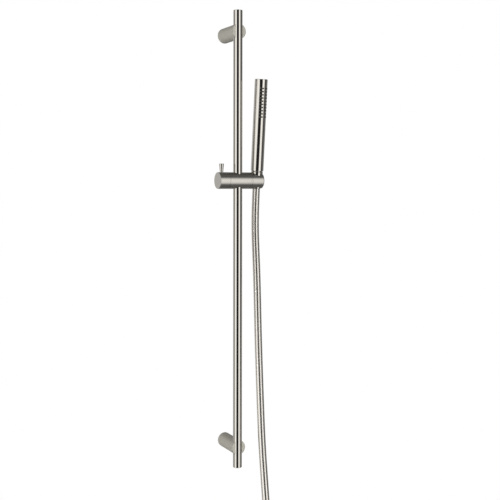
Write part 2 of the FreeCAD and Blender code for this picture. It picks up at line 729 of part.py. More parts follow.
def nozzle_strip():
    """The rubber strip behind the shell, with the nozzles on it."""
    low = "nozzle_first - nozzle_pitch * nozzle_rows"
    outer = "handset_radius - handset_wall - slip"
    body = new_body("nozzle_strip", HANDSET_FRONT)
    outline = rectangle("water_radius + slip", low, outer, "nozzle_first + strip_margin")
    revolve(body, outline, number("strip_angle"))
    sketch = nozzle_sketch(body, "pip_radius", "water_radius + 1")
    pip = body.newObject("PartDesign::Pad", "pip")
    pip.Profile = sketch
    pip.setExpression("Length", bound("handset_radius + pip_proud - water_radius - 1"))
    document.recompute()
    repeat_nozzles(body, pip)
    jet = cut_forward(body, nozzle_sketch(body, "jet_radius", "0"), "handset_radius * 2")
    repeat_nozzles(body, jet)
    keep(body, "nozzle_strip")


def water_tube():
    """The inner tube, with a window behind the nozzles."""
    inner = "water_radius - water_wall"
    body = new_body("water_tube", HANDSET_FRONT)
    low, high = "tail_collar + slip * 4", "handset_high - cap_stop - slip * 4"
    revolve(body, rectangle(inner, low, "water_radius", high))
    window = new_sketch(body, "YZ_Plane")
    low, high = "nozzle_first - nozzle_pitch * (nozzle_rows - 0.5)", "nozzle_first + strip_margin / 2"
    draw_outline(window, rectangle("-window_half", low, "window_half", high))
    cut_forward(body, window, "handset_radius * 2")
    keep(body, "water_tube")


def handset_cap():
    """The end cap, with a spigot in the water tube."""
    collar, spigot = "handset_radius - handset_wall - slip", "water_radius - water_wall - slip"
    top, seat, stop = "handset_high", "handset_high - cap_head", "handset_high - cap_stop"
    outline = [("0", f"{stop} - cap_spigot"), (spigot, f"{stop} - cap_spigot")]
    outline += ring_groove(spigot, f"{stop} - cap_groove")
    outline += [(spigot, stop), (collar, stop), (collar, seat), ("handset_radius", seat)]
    outline += [("handset_radius", top), ("0", top)]
    body = turned_body("handset_cap", HANDSET, outline, [("handset_radius", top)])
    keep(body, "handset_cap")


# ---------------------------------------------------------------- hose


def hose_route():
    """The hose from the ferrule down to the hank, as corners of its path in the row frame."""
    across, back, rail = number("handset_place"), number("lane_back"), -number("stand_off")
    foot = FreeCAD.Vector(across, rail, number("slider_height"))
    down = LEANING.multVec(-Z)
    free = [
        (across, rail + 6.2, 15),
        (across, rail - 1.6, -70),
        (across, rail - 6.4, -180),
        (across, rail - 14.8, -300),
        (across, rail - 23.4, -400),
        (across, rail - 35.8, -480),
        (across, rail - back, -540),
        (across, rail - back, -number("hank_top")),
    ]
    straight = [foot + down * number("nut_low"), foot + down * number("straight_run")]
    return straight + [FreeCAD.Vector(*point) for point in free]


def rounded_path(corners):
    """Straight runs joined by tangent arcs, as large as the shorter run beside each corner allows."""
    edges, radii, here = [], [], corners[0]
    for before, corner, after in zip(corners, corners[1:], corners[2:]):
        back, ahead = (before - corner), (after - corner)
        half_turn = (math.pi - back.getAngle(ahead)) / 2
        if half_turn < math.radians(0.05):
            continue
        shorter = min(back.Length, ahead.Length)
        radius = 0.45 * shorter / math.tan(half_turn)
        back.normalize()
        ahead.normalize()
        start, end = corner + back * 0.45 * shorter, corner + ahead * 0.45 * shorter
        bisector = (back + ahead).normalize()
        middle = corner + bisector * (radius / math.cos(half_turn) - radius)
        edges.append(Part.LineSegment(here, start).toShape())
        edges.append(Part.Arc(start, middle, end).toShape())
        radii.append(radius)
        here = end
    edges.append(Part.LineSegment(here, corners[-1]).toShape())
    return Part.Wire(edges), radii


def hose_tube():
    path, radii = rounded_path(hose_route())
    start, towards = path.Vertexes[0].Point, hose_route()[1] - hose_route()[0]
    radius = number("hose_radius")
    ring = Part.Wire([Part.Circle(start, towards, radius).toShape()])
    tube = path.makePipeShell([ring], True, False)
    section = math.pi * radius**2
    print("hose radii", [round(value) for value in radii], "length", round(path.Length, 1))
    print("hose volume over section times length", round(tube.Volume / section / path.Length, 4))
    solid = document.addObject("Part::Feature", "hose")
    solid.Shape = tube
    keep(solid, "hose_tube")


def hank_ring(sketch, radius):
    """A racetrack outline: two straight runs and two half circles."""
    size, run = number(radius), number("hank_run")
    top, low = FreeCAD.Vector(0, 0, 0), FreeCAD.Vector(0, -run, 0)
    right, left = FreeCAD.Vector(size, 0, 0), FreeCAD.Vector(-size, 0, 0)
    curves = [
        Part.ArcOfCircle(Part.Circle(top, Z, size), 0, math.pi),
        Part.LineSegment(left, left + low),
        Part.ArcOfCircle(Part.Circle(low, Z, size), math.pi, 2 * math.pi),
        Part.LineSegment(right + low, right),
    ]
    first = sketch.GeometryCount
    for curve in curves:
        sketch.addGeometry(curve, False)
    upper, left_side, lower, right_side = range(first, first + 4)
    for curve, side in ((upper, left_side), (left_side, lower), (lower, right_side)):
        sketch.addConstraint(Sketcher.Constraint("Tangent", curve, 2, side, 1))
    sketch.addConstraint(Sketcher.Constraint("Tangent", right_side, 2, upper, 1))
    sketch.addConstraint(Sketcher.Constraint("Coincident", upper, 3, -1, 1))
    sketch.addConstraint(Sketcher.Constraint("Vertical", left_side))
    held = sketch.addConstraint(Sketcher.Constraint("Radius", upper, size))
    sketch.setExpression(f"Constraints[{held}]", bound(radius))
    held = sketch.addConstraint(Sketcher.Constraint("DistanceY", left_side, 2, left_side, 1, run))
    sketch.setExpression(f"Constraints[{held}]", bound("hank_run"))


def hose_hank():
    """The outer shape of the put-away length, less the lanes that the hose comes and goes by."""
    body = new_body("hose_hank", HANK)
    ring = new_sketch(body, "XZ_Plane", shift="lane_back - lane_half")
    hank_ring(ring, "fold_radius + lane_half")
    hank_ring(ring, "fold_radius - lane_half")
    pad = body.newObject("PartDesign::Pad", "ring")
    pad.Profile = ring
    pad.setExpression("Length", bound("lane_front - lane_back + lane_half * 2"))
    document.recompute()
    reach = "fold_radius + lane_half * 2"
    arrival = new_sketch(body, "XZ_Plane")
    draw_outline(arrival, rectangle("0", "0", reach, reach))
    cut_forward(body, arrival, "lane_back + lane_half")
    leaving = new_sketch(body, "XZ_Plane", shift="lane_back + lane_half")
    draw_outline(leaving, rectangle("0", f"-hank_run - ({reach})", reach, "-tail_run"))
    cut_forward(body, leaving, "lane_front")
    keep(body, "hose_hank")


def hose_tie():
    """The strap round the two lanes of the hank that lie one in front of the other."""
    turning, origin = HANK
    half, front = "lane_half + slip", "lane_front - lane_back + lane_half * 2 + slip"
    middle = "-(lane_back + lane_front) / 2"
    body = new_body("hose_tie", (turning, (origin[0], f"{origin[1]} + {middle}", origin[2])))
    solid = body.newObject("PartDesign::Pad", "strap")
    sketch = new_sketch(body, "XY_Plane", shift="-tie_drop")
    for extra in ("0", "tie_wall"):
        side, reach = f"{half} + {extra}", f"({front}) / 2 + {extra}"
        left, right = f"fold_radius - ({side})", f"fold_radius + {side}"
        outline = rectangle(left, f"-({reach})", right, reach)
        draw_outline(sketch, outline)
    solid.Profile = sketch
    solid.SideType = "Symmetric"
    solid.setExpression("Length", bound("tie_height"))
    document.recompute()
    keep(body, "hose_tie")


def supply_ferrule():
    low, high = "socket_start - 5.8", "socket_start - 3"
    outline = [("hose_bore", "0"), ("ferrule_radius", "0"), ("ferrule_radius", low)]
    outline += [("flange_radius", low), ("flange_radius", high), ("hose_bore", high)]
    keep(turned_body("supply_ferrule", HOSE_END, outline), "supply_ferrule")


def supply_washer():
    low, high = "socket_start - 3 + slip", "socket_start - slip * 2"
    outline = rectangle("washer_bore", low, "flange_radius", high)
    keep(turned_body("supply_washer", HOSE_END, outline), "supply_washer")


def supply_nut():
    """The hexagon nut that screws on the wall outlet."""
    corner = "hex_flats / 2 / cos(30 deg)"
    edge, neck, relief = "hex_flats / 2 + 0.3", "ferrule_radius + 0.3", "flange_radius + 0.2"
    prism = document.addObject("Part::Prism", "hexagon")
    prism.Polygon = 6
    prism.setExpression("Circumradius", bound(corner) + " * 1 mm")
    prism.setExpression("Height", bound("hex_end - hex_start"))
    shift_along(prism, "hex_start", HOSE_END)
    thread, seat = "thread_radius + slip", "socket_start - 6"
    outline = [(neck, "hex_start"), (edge, "hex_start"), (f"{edge} + 3", "hex_start + 2")]
    outline += [(f"{edge} + 3", "hex_end - 2"), (edge, "hex_end"), (thread, "hex_end")]
    outline += [(thread, "socket_start"), (relief, "socket_start"), (relief, seat), (neck, seat)]
    turned = turned_body("nut_blank", HOSE_END, outline)
    keep(combine("Common", prism, turned), "supply_nut")


def build():
    rail_tube()
    for name, side in (("upper", 1), ("lower", -1)):
        rail_plug(f"{name}_rail_plug", side)
        rail_insert(f"{name}_rail_insert", side)
        wall_post(f"{name}_post", side)
        wall_boss(f"{name}_wall_boss", side)
    rail_screws()
    grub_screws()
    rail_bush()
    slider_body()
    spacer_ring()
    friction_washer()
    pivot_screw()
    lock_knob()
    lever_pin()
    clamp_stud()
    clamp_shoe()
    handset_holder()
    holder_liner()
    hose_ferrule()
    ferrule_washer()
    cone_nut()
    handset_tail()
    flow_limiter()
    o_ring("tail_o_ring", "tail_groove")
    handset_shell()
    nozzle_strip()
    water_tube()
    handset_cap()
    o_ring("cap_o_ring", "handset_high - cap_stop - cap_groove")
    hose_tube()
    hose_hank()
    hose_tie()
    supply_ferrule()
    supply_washer()
    supply_nut()


def check():
    """Stops on any failed object, and on any sub-part whose shape isn't sound."""
    document.recompute()
    for item in document.Objects:
        if "Invalid" in item.State or "Error" in item.State:
            raise RuntimeError(f"{item.Label} failed: {item.State}")
    for piece in pieces:
        shape = piece.Shape
        if shape.isNull() or not shape.isValid() or not shape.Solids:
            raise RuntimeError(f"{piece.Label} has no sound shape")
        box = shape.BoundBox
        print(f"{piece.Label:20s} solids {len(shape.Solids)} volume {shape.Volume:10.1f}", box)


build()
check()
os.makedirs("parts", exist_ok=True)
for piece in pieces:
    piece.Shape.exportStep(os.path.join("parts", f"{piece.Label}.step"))
print(len(pieces), "sub-parts")
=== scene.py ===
"""Looks for the round slide-rail hand-shower set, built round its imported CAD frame.

Metres, in the row frame: the wall is y = 0, the set stands in front of it (y < 0) and +Z is up.
Order: camera, hose, materials, hose end and strap, studio.
"""

import json
import math

import bmesh
import bpy
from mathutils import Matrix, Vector


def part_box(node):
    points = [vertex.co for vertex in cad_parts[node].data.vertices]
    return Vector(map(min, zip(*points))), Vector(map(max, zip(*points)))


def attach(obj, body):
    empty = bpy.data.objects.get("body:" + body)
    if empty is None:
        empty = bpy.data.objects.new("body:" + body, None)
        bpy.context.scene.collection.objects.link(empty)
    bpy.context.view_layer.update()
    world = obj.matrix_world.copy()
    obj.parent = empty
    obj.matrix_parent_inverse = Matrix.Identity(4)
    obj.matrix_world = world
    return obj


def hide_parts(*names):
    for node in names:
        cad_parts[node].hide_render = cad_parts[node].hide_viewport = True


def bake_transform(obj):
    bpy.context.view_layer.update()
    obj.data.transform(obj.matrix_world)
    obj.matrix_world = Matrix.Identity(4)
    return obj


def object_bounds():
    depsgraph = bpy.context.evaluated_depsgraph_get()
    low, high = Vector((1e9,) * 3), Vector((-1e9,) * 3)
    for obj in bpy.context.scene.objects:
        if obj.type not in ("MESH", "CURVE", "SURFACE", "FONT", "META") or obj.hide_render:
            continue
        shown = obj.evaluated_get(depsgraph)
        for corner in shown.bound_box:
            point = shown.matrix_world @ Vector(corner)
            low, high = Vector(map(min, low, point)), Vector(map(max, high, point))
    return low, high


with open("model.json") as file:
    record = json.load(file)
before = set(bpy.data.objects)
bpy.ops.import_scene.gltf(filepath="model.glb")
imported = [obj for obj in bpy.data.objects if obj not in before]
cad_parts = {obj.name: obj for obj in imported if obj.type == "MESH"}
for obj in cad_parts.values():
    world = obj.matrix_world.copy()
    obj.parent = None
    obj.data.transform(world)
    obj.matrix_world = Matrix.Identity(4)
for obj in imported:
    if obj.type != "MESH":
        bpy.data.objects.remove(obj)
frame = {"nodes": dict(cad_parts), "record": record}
cad_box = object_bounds()
scene = bpy.context.scene

# ---------------------------------------------------------------- camera

CAMERA_PLACE = Vector((-0.7791, -1.6454, 0.1193))
CAMERA_HEADING = math.radians(26.99)  # from +Y towards +X
CAMERA_PITCH = math.radians(-4.32)
CAMERA_ROLL = math.radians(-0.13)
CAMERA_LENS = 63.86  # on the default 36 mm sensor


def make_camera():
    data = bpy.data.cameras.new("photo_camera")
    data.lens = CAMERA_LENS
    camera = bpy.data.objects.new("photo_camera", data)
    scene.collection.objects.link(camera)
    camera.location = CAMERA_PLACE
    camera.rotation_euler = (math.pi / 2 + CAMERA_PITCH, CAMERA_ROLL, -CAMERA_HEADING)
    scene.camera = camera


# ---------------------------------------------------------------- hose

RAIL_Y = -0.062
SLIDER_Z = 0.124
HOSE_X = 0.0421
LEAN = math.radians(5.45)
HANDSET_AXIS = Vector((0, -math.sin(LEAN), math.cos(LEAN)))
HANDSET_FOOT = Vector((HOSE_X, RAIL_Y, SLIDER_Z))
EXIT_DEPTH = 0.015  # from the handset's foot down to where the hose begins
HOSE_EXIT = HANDSET_FOOT - HANDSET_AXIS * EXIT_DEPTH
HOSE_RADIUS = 0.0075
HOSE_SIDES = 40
RING_SPACING = 0.002
# Control points between the exit and the hank, as (forward of the rail axis, height).
HANGING_POINTS = [
    (-0.0055, 0.0663),
    (-0.0056, 0.015),
    (0.0028, -0.070),
    (0.0082, -0.180),
    (0.0172, -0.300),
    (0.0260, -0.400),
    (0.0382, -0.480),
    (0.0480, -0.540),
    (0.0470, -0.590),
]
FOLD_RADIUS = 0.045
HANK_TOP = -0.590
HANK_LOW = -0.760
LANE_BACK = 0.047
LANE_FRONT = 0.069
HOSE_END = Vector((HOSE_X, RAIL_Y - LANE_FRONT, -0.765))
POINTS_PER_FOLD = 6


def fold_points(side, height, lane_in, lane_out):
    """Half a turn of the hank: side is -1 for the lower fold and 1 for the upper one."""
    middle = HOSE_X - FOLD_RADIUS
    points = []
    for step in range(POINTS_PER_FOLD + 1):
        turn = math.pi * step / POINTS_PER_FOLD
        across = -side * math.cos(turn) * FOLD_RADIUS
        forward = lane_in + (lane_out - lane_in) * step / POINTS_PER_FOLD
        rise = side * math.sin(turn) * FOLD_RADIUS
        points.append(Vector((middle + across, RAIL_Y - forward, height + rise)))
    return points


def hose_route():
    """Control points of the whole hose: the hanging stretch, then the put-away length in a hank."""
    hanging = [Vector((HOSE_X, RAIL_Y - forward, height)) for forward, height in HANGING_POINTS]
    lower_fold = fold_points(-1, HANK_LOW, LANE_BACK, LANE_BACK)
    upper_fold = fold_points(1, HANK_TOP, LANE_BACK, LANE_FRONT)
    return [HOSE_EXIT] + hanging + lower_fold + upper_fold + [HOSE_END]


def smooth_line(points):
    """Points read from the NURBS spline that has these control points."""
    curve = bpy.data.curves.new("route", "CURVE")
    curve.dimensions = "3D"
    curve.resolution_u = 32
    spline = curve.splines.new("NURBS")
    spline.points.add(len(points) - 1)
    for point, place in zip(spline.points, points):
        point.co = (*place, 1)
    spline.order_u = 3
    spline.use_endpoint_u = True
    carrier = bpy.data.objects.new("route", curve)
    scene.collection.objects.link(carrier)
    bpy.context.view_layer.update()
    graph = bpy.context.evaluated_depsgraph_get()
    line = bpy.data.meshes.new_from_object(carrier.evaluated_get(graph))
    found = [vertex.co.copy() for vertex in line.vertices]
    bpy.data.objects.remove(carrier)
    bpy.data.curves.remove(curve)
    bpy.data.meshes.remove(line)
    return found


def evenly(points, spacing):
    """The same line with a point about every spacing, first and last kept."""
    lengths = [0.0]
    for before, after in zip(points, points[1:]):
        lengths.append(lengths[-1] + (after - before).length)
    count = round(lengths[-1] / spacing)
    result = []
    index = 0
    for step in range(count + 1):
        wanted = lengths[-1] * step / count
        while index < len(points) - 2 and lengths[index + 1] < wanted:
            index += 1
        share = (wanted - lengths[index]) / (lengths[index + 1] - lengths[index])
        result.append(points[index].lerp(points[index + 1], share))
    return result


def skin(mesh, rings):
    """Smooth faces between each ring of points and the next; one list of faces for each gap."""
    bands = []
    for ring, following in zip(rings, rings[1:]):
        after = ring[1:] + ring[:1]
        beyond = following[1:] + following[:1]
        band = [mesh.faces.new(corners) for corners in zip(ring, after, beyond, following)]
        for face in band:
            face.smooth = True
        bands.append(band)
    return bands


def tube_along(name, points, radius, sides):
    """A tube with flat closed ends; its UV is (turns round, metres along)."""
    mesh = bmesh.new()
    uv = mesh.loops.layers.uv.new("along")
    side = Vector((1, 0, 0))
    rings = []
    for index, point in enumerate(points):
        ahead = points[min(index + 1, len(points) - 1)] - points[max(index - 1, 0)]
        ahead.normalize()
        side = (side - ahead * side.dot(ahead)).normalized()
        other = ahead.cross(side)
        ring = []
        for step in range(sides):
            turn = 2 * math.pi * step / sides
            out = side * math.cos(turn) + other * math.sin(turn)
            ring.append(mesh.verts.new(point + out * radius))
        rings.append(ring)
    along = 0.0
    for band, point, following in zip(skin(mesh, rings), points, points[1:]):
        reach = along + (following - point).length
        for step, face in enumerate(band):
            corners = ((step, along), (step + 1, along), (step + 1, reach), (step, reach))
            for loop, (turn, metres) in zip(face.loops, corners):
                loop[uv].uv = (turn / sides, metres)
        along = reach
    mesh.faces.new(list(reversed(rings[0])))
    mesh.faces.new(rings[-1])
    return new_object(name, mesh)


def new_object(name, mesh):
    """Links a finished bmesh as an object."""
    bmesh.ops.recalc_face_normals(mesh, faces=mesh.faces)
    data = bpy.data.meshes.new(name)
    mesh.to_mesh(data)
    mesh.free()
    made = bpy.data.objects.new(name, data)
    scene.collection.objects.link(made)
    return made


make_camera()
hose_line = evenly(smooth_line(hose_route()), RING_SPACING)
hose = tube_along("hose_outer", hose_line, HOSE_RADIUS, HOSE_SIDES)

# ---------------------------------------------------------------- materials


class Paint:
    """A material being made: a Principled shader and the nodes that feed it.

    Further values name a socket of the shader, as in specular_ior_level=0.45.
    """

    def __init__(self, name, colour, roughness, **values):
        self.material = bpy.data.materials.new(name)
        self.material.use_nodes = True
        self.tree = self.material.node_tree
        self.shader = self.tree.nodes["Principled BSDF"]
        self.set("Base Color", (*colour, 1))
        self.set("Roughness", roughness)
        for word, value in values.items():
            self.set(word.replace("_", " ").title().replace("Ior", "IOR"), value)

    def set(self, socket, value):
        """Feeds a socket of the shader from a number, a colour or another node."""
        self.feed(self.shader.inputs[socket], value)

    def feed(self, socket, value):
        if isinstance(value, bpy.types.NodeSocket):
            self.tree.links.new(value, socket)
        else:
            socket.default_value = value

    def add(self, kind, values, **settings):
        """A new node with these inputs, given by name or place; its first output."""
        node = self.tree.nodes.new(f"ShaderNode{kind}")
        for setting, value in settings.items():
            setattr(node, setting, value)
        for socket, value in values.items():
            self.feed(node.inputs[socket], value)
        return node.outputs[0]

    def place(self):
        """The point on the piece, in the row frame at rest."""
        return self.tree.nodes.new("ShaderNodeTexCoord").outputs["Object"]

    def around_and_along(self):
        """The tube's own (turns round, metres along)."""
        return self.tree.nodes.new("ShaderNodeTexCoord").outputs["UV"]

    def maths(self, operation, first, second=0.0, third=0.0):
        return self.add("Math", {0: first, 1: second, 2: third}, operation=operation)

    def stretched(self, vector, scale, turn=(0, 0, 0), shift=(0, 0, 0)):
        values = {"Vector": vector, "Location": shift, "Rotation": turn, "Scale": scale}
        return self.add("Mapping", values)

    def noise(self, vector, scale, detail=3.0, roughness=0.55):
        values = {"Vector": vector, "Scale": scale, "Detail": detail, "Roughness": roughness}
        return self.add("TexNoise", values)

    def spread(self, value, low, high, new_low, new_high):
        values = {0: value, 1: low, 2: high, 3: new_low, 4: new_high}
        return self.add("MapRange", values)

    def blend(self, share, first, second):
        """A colour between two others."""
        node = self.tree.nodes.new("ShaderNodeMix")
        node.data_type = "RGBA"
        self.feed(node.inputs["Factor"], share)
        for socket, colour in (("A", first), ("B", second)):
            target = next(s for s in node.inputs if s.name == socket and s.type == "RGBA")
            self.feed(target, colour)
        return next(s for s in node.outputs if s.type == "RGBA")

    def bump(self, height, depth):
        """Relief of that depth in metres where height goes from 0 to 1."""
        return self.add("Bump", {"Height": height, "Strength": 1.0, "Distance": depth})


def shade(colour, factor):
    return tuple(min(1.0, part * factor) for part in colour) + (1,)


NICKEL = (0.66, 0.634, 0.582)
LATHE_LINES = (2400.0, 26.0, 26.0)  # how fine: along the axis or out from it, and the two ways across


def finish_nickel(paint, colour, streaks, rough_low, rough_high, depth):
    """Colour, gloss and relief of brushed nickel from a streak pattern of 0 to 1."""
    place = paint.place()
    cloud = paint.noise(place, 14.0, 2.0)
    smear = paint.noise(place, 160.0, 4.0, 0.65)
    tone = paint.maths("MULTIPLY_ADD", streaks, 0.55, paint.maths("MULTIPLY", cloud, 0.45))
    paint.set("Base Color", paint.blend(tone, shade(colour, 0.95), shade(colour, 1.04)))
    mixed = paint.maths("MULTIPLY_ADD", streaks, 0.6, paint.maths("MULTIPLY", smear, 0.4))
    paint.set("Roughness", paint.spread(mixed, 0.25, 0.75, rough_low, rough_high))
    paint.set("Normal", paint.bump(streaks, depth))


def brushed_lengthwise(name, rough_low, rough_high, lean=0.0):
    """Nickel drawn along its length: long fine lines along an upright or leaning axis."""
    paint = Paint(name, NICKEL, 0.18, metallic=1.0)
    upright = paint.stretched(paint.place(), (1, 1, 1), turn=(-lean, 0, 0))
    long_lines = paint.noise(paint.stretched(upright, (2600, 2600, 14)), 1.0, 3.0)
    short_lines = paint.noise(paint.stretched(upright, (5200, 5200, 90)), 1.0, 2.0)
    streaks = paint.maths("MULTIPLY_ADD", long_lines, 0.6, paint.maths("MULTIPLY", short_lines, 0.4))
    finish_nickel(paint, NICKEL, streaks, rough_low, rough_high, 0.08e-6)
    return paint.material


def turned_lines(paint, centre, upright):
    """Lathe lines round a line along X, or Z if upright, through centre, and rings on its ends."""
    moved = paint.stretched(paint.place(), (1, 1, 1), shift=[-part for part in centre])
    parts = paint.tree.nodes.new("ShaderNodeSeparateXYZ")
    paint.feed(parts.inputs[0], moved)
    along, sideways, up = reversed(parts.outputs) if upright else parts.outputs
    squares = paint.maths("MULTIPLY_ADD", sideways, sideways, paint.maths("MULTIPLY", up, up))
    out = paint.maths("SQRT", squares)
    ring = paint.maths("ADD", along, out)
    joined = paint.tree.nodes.new("ShaderNodeCombineXYZ")
    for socket, value, scale in zip(joined.inputs, (ring, sideways, up), LATHE_LINES):
        paint.feed(socket, paint.maths("MULTIPLY", value, scale))
    return paint.noise(joined.outputs[0], 1.0, 3.0)


def brushed_turned(name, colour, centre, rough_low=0.18, upright=False):
    """Nickel finished on a lathe."""
    paint = Paint(name, colour, rough_low, metallic=1.0)
    streaks = turned_lines(paint, centre, upright)
    finish_nickel(paint, colour, streaks, rough_low, rough_low + 0.06, 0.15e-6)
    return paint.material


BLASTED_NICKEL = (0.61, 0.588, 0.515)


def satin_nickel(name):
    """Bead-blasted nickel: a soft even sheen with a very fine grain."""
    paint = Paint(name, BLASTED_NICKEL, 0.46, metallic=0.95)
    place = paint.place()
    cloud = paint.noise(place, 22.0, 3.0)
    pits = paint.noise(place, 3600.0, 2.0, 0.6)
    dabs = paint.noise(place, 900.0, 3.0, 0.6)
    tone = paint.maths("MULTIPLY_ADD", dabs, 0.5, paint.maths("MULTIPLY", cloud, 0.5))
    paint.set("Base Color", paint.blend(tone, shade(BLASTED_NICKEL, 0.92), shade(BLASTED_NICKEL, 1.05)))
    paint.set("Roughness", paint.spread(dabs, 0.3, 0.7, 0.42, 0.5))
    paint.set("Normal", paint.bump(pits, 1.5e-6))
    return paint.material


def plain_metal(name, colour, rough, fine=1800.0):
    """Machined brass, steel or cast zinc under the nickel."""
    paint = Paint(name, colour, rough, metallic=1.0)
    place = paint.place()
    marks = paint.noise(place, fine, 3.0, 0.6)
    stain = paint.noise(place, 90.0, 4.0, 0.6)
    paint.set("Base Color", paint.blend(stain, shade(colour, 0.82), shade(colour, 1.08)))
    paint.set("Roughness", paint.spread(marks, 0.3, 0.7, rough * 0.8, rough * 1.25))
    paint.set("Normal", paint.bump(marks, 3e-6))
    return paint.material


def moulded(name, colour, rough):
    """Plastic or rubber with a fine moulded grain and uneven gloss."""
    paint = Paint(name, colour, rough, specular_ior_level=0.45)
    place = paint.place()
    grain = paint.noise(place, 2200.0, 2.0, 0.6)
    wear = paint.noise(place, 120.0, 4.0, 0.6)
    paint.set("Base Color", paint.blend(wear, shade(colour, 0.85), shade(colour, 1.15)))
    paint.set("Roughness", paint.spread(wear, 0.3, 0.7, rough * 0.88, rough * 1.12))
    paint.set("Normal", paint.bump(grain, 6e-6))
    return paint.material


HOSE_COLOUR = (0.78, 0.748, 0.69)
WINDING_PITCH = 0.0048  # the winding's advance along the hose in one turn
WINDING_STARTS = 2


def hose_skin(name):
    """Satin silver PVC: a fine slanting winding that only just shows through it."""
    paint = Paint(name, HOSE_COLOUR, 0.25, metallic=0.97)
    parts = paint.tree.nodes.new("ShaderNodeSeparateXYZ")
    paint.feed(parts.inputs[0], paint.around_and_along())
    around, along = parts.outputs[0], parts.outputs[1]
    turns = paint.maths("MULTIPLY", around, float(WINDING_STARTS))
    phase = paint.maths("MULTIPLY_ADD", along, WINDING_STARTS / WINDING_PITCH, turns)
    ridge = paint.maths("PINGPONG", paint.maths("FRACT", phase), 0.5)
    line = paint.spread(ridge, 0.0, 0.09, 0.0, 1.0)
    place = paint.place()
    cloud = paint.noise(place, 30.0, 3.0)
    tone = paint.maths("MULTIPLY_ADD", line, 0.7, paint.maths("MULTIPLY", cloud, 0.3))
    paint.set("Base Color", paint.blend(tone, shade(HOSE_COLOUR, 0.99), shade(HOSE_COLOUR, 1.01)))
    paint.set("Roughness", paint.spread(cloud, 0.3, 0.7, 0.23, 0.27))
    paint.set("Normal", paint.bump(paint.noise(place, 40.0, 2.0), 2e-6))
    return paint.material


def strap_weave(name):
    """Black hook-and-loop strap: short woven loops."""
    colour = (0.022, 0.022, 0.024)
    paint = Paint(name, colour, 0.85, sheen_weight=0.4)
    place = paint.place()
    weave = paint.add("TexVoronoi", {"Vector": place, "Scale": 1500.0})
    fuzz = paint.noise(place, 4200.0, 3.0, 0.7)
    both = paint.maths("MULTIPLY_ADD", weave, 0.7, paint.maths("MULTIPLY", fuzz, 0.3))
    paint.set("Base Color", paint.blend(both, shade(colour, 0.6), shade(colour, 2.2)))
    paint.set("Normal", paint.bump(both, 1.2e-4))
    return paint.material


SLIDER_CENTRE = (0, RAIL_Y, SLIDER_Z)
LEVER_X = -0.0355
TURNED_TONE = 0.86  # the lathe-finished pieces are a shade darker than the drawn ones
turned_colour = shade(NICKEL, TURNED_TONE)[:3]
lever_place = (LEVER_X, RAIL_Y, SLIDER_Z)
upright_nickel = brushed_lengthwise("nickel_lengthwise", 0.05, 0.075)
handset_nickel = brushed_lengthwise("nickel_handset", 0.08, 0.13, LEAN)
turned_nickel = brushed_turned("nickel_turned", turned_colour, SLIDER_CENTRE)
nut_nickel = brushed_turned("nickel_nut", turned_colour, HOSE_END, upright=True)
lever_nickel = brushed_turned("nickel_lever", NICKEL, lever_place, 0.06, upright=True)
post_nickel = satin_nickel("nickel_satin")
slot_paints = {
    "brushed_nickel": upright_nickel,
    "brushed_nickel_turned": turned_nickel,
    "satin_nickel": post_nickel,
    "brass_core": plain_metal("brass", (0.78, 0.60, 0.32), 0.28),
    "zinc": plain_metal("zinc_casting", (0.52, 0.53, 0.54), 0.5, 700.0),
    "stainless_screw": plain_metal("stainless", (0.62, 0.61, 0.59), 0.25),
    "bush_plastic": moulded("black_acetal", (0.028, 0.028, 0.03), 0.35),
    "liner_plastic": moulded("grey_liner", (0.075, 0.074, 0.07), 0.42),
    "limiter_plastic": moulded("white_limiter", (0.72, 0.72, 0.68), 0.4),
    "inner_plastic": moulded("white_tube", (0.66, 0.66, 0.63), 0.4),
    "seal_rubber": moulded("black_rubber", (0.018, 0.018, 0.018), 0.62),
    "nozzle_rubber": moulded("grey_silicone", (0.034, 0.033, 0.03), 0.55),
    "hose_skin": hose_skin("hose_pvc"),
    "tie_strap": strap_weave("strap_weave"),
}
node_paints = {
    "handset_shell": handset_nickel,
    "handset_cap": handset_nickel,
    "cone_nut": handset_nickel,
    "handset_tail": handset_nickel,
    "lever_pin": lever_nickel,
    "supply_nut": nut_nickel,
}


def paint_cad_nodes():
    for part in frame["record"]["subparts"]:
        name = part["node"]
        paint = node_paints.get(name, slot_paints[part["material_slot"]])
        for slot in frame["nodes"][name].material_slots:
            slot.material = paint


paint_cad_nodes()
hose.data.materials.append(slot_paints["hose_skin"])

# ---------------------------------------------------------------- hose end and strap


def turned_piece(name, profile, centre, axis, sides=64):
    """A piece turned about an axis through centre from (radius, distance along) points."""
    mesh = bmesh.new()
    turn = axis.to_track_quat("Z", "Y").to_matrix()
    rings = []
    for radius, height in profile:
        ring = []
        for step in range(sides):
            angle = 2 * math.pi * step / sides
            local = Vector((radius * math.cos(angle), radius * math.sin(angle), height))
            ring.append(mesh.verts.new(centre + turn @ local))
        rings.append(ring)
    skin(mesh, rings + rings[:1])
    made = new_object(name, mesh)
    made.data.set_sharp_from_angle(angle=math.radians(40))
    return made


FERRULE_RADIUS = 0.0079
FERRULE_BORE = 0.0052
FERRULE_LIP = 0.0002
FERRULE_GAP = 0.0001  # round the hose
FLANGE_THICK = 0.0028
CRIMPS = (0.0022, 0.0044, 0.0066)  # below the ferrule's top
CRIMP_DEPTH = 0.00035
CRIMP_MOUTH = 0.0006  # half a groove's width at the surface
CRIMP_FLOOR = 0.0003


